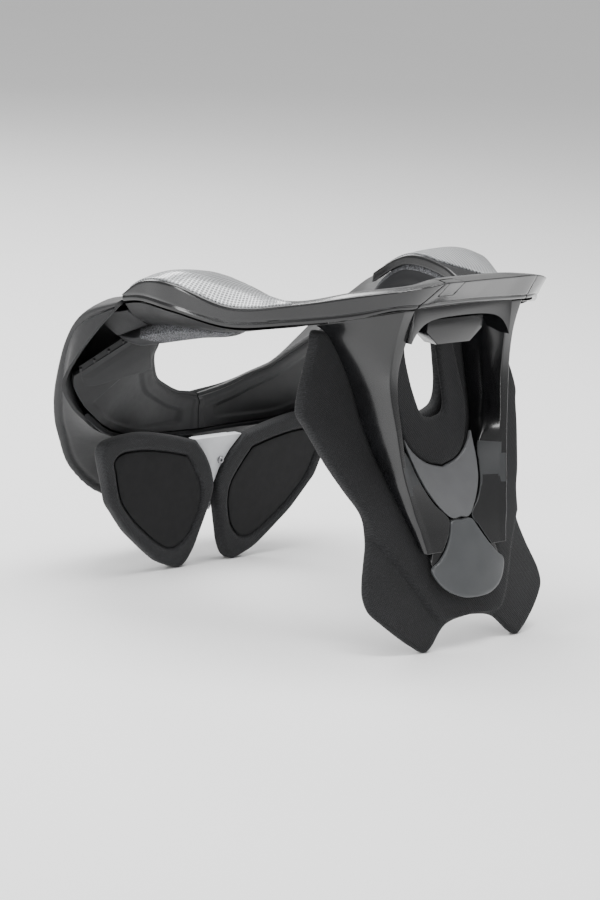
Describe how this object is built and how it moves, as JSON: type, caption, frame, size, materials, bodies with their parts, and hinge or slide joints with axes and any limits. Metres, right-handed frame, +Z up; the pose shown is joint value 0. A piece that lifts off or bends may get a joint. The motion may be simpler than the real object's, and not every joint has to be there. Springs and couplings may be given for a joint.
{
  "type": "motocross neck brace",
  "caption": "Rigid ring-shaped neck brace with hinged side arm, chest plate on a two-legged strut and folding rear stabiliser pads.",
  "frame": {"origin": "middle of the bounding box on the floor the brace stands on", "axes": "+Z up, -Y the wearer's front, +X the wearer's left"},
  "size_m": [0.2794, 0.2718, 0.2153],
  "materials": {
    "gloss_black": "moulded black plastic, glossy",
    "satin_black": "moulded dark grey plastic, satin",
    "silver_weave": "silver grey woven sheet under a clear skin",
    "foam": "closed-cell foam with a fine black weave",
    "smooth_pad": "smooth near-black moulded pad",
    "light_grey": "light grey plastic, satin",
    "mid_grey": "mid grey plastic, satin",
    "rubber_lip": "soft black edge tube",
    "white_plastic": "white moulded plastic",
    "steel": "small steel screw head"
  },
  "bodies": {
    "frame": {"bridge": "gloss_black", "deck_left": "gloss_black", "deck_inlay_left": "silver_weave", "arm_left": "gloss_black", "shoulder_pad_left": "foam", "front_strut": "gloss_black", "crescent_panel": "light_grey", "shield_panel": "mid_grey", "front_bracket": "gloss_black", "chest_pad": "foam", "pad_ring": "foam", "rear_shell": "satin_black", "collar_left": "satin_black", "collar_right": "satin_black", "rib_block_left": "satin_black", "rib_block_right": "satin_black", "hinge_block_left": "satin_black", "hinge_block_right": "satin_black", "rear_lip": "rubber_lip", "rear_strut": "white_plastic", "rear_screw": "steel"},
    "gate": {"deck_right": "gloss_black", "deck_inlay_right": "silver_weave", "arm_right": "gloss_black", "shoulder_pad_right": "foam"},
    "catch": {"bridge_catch": "gloss_black"},
    "stabiliser_left": {"paddle_left": "foam", "paddle_insert_left": "smooth_pad"},
    "stabiliser_right": {"paddle_right": "foam", "paddle_insert_right": "smooth_pad"}
  },
  "joints": [
    {"name": "gate_swing", "type": "hinge", "parent": "frame", "child": "gate", "pos_m": [-0.1397, 0.0372, 0.18], "axis": [0, 0, -1], "range_deg": [0, 30]},
    {"name": "catch_press", "type": "slide", "parent": "frame", "child": "catch", "axis": [0, 1, 0], "range_m": [0, 0.0012], "stiffness_N_per_m": 800},
    {"name": "stabiliser_fold_left", "type": "hinge", "parent": "frame", "child": "stabiliser_left", "pos_m": [0.0008, 0.0798, 0.05], "axis": [0, 0.0698, -0.9976], "range_deg": [0, 60]},
    {"name": "stabiliser_fold_right", "type": "hinge", "parent": "frame", "child": "stabiliser_right", "pos_m": [-0.0008, 0.0798, 0.05], "axis": [0, -0.0698, 0.9976], "range_deg": [0, 60]}
  ]
}
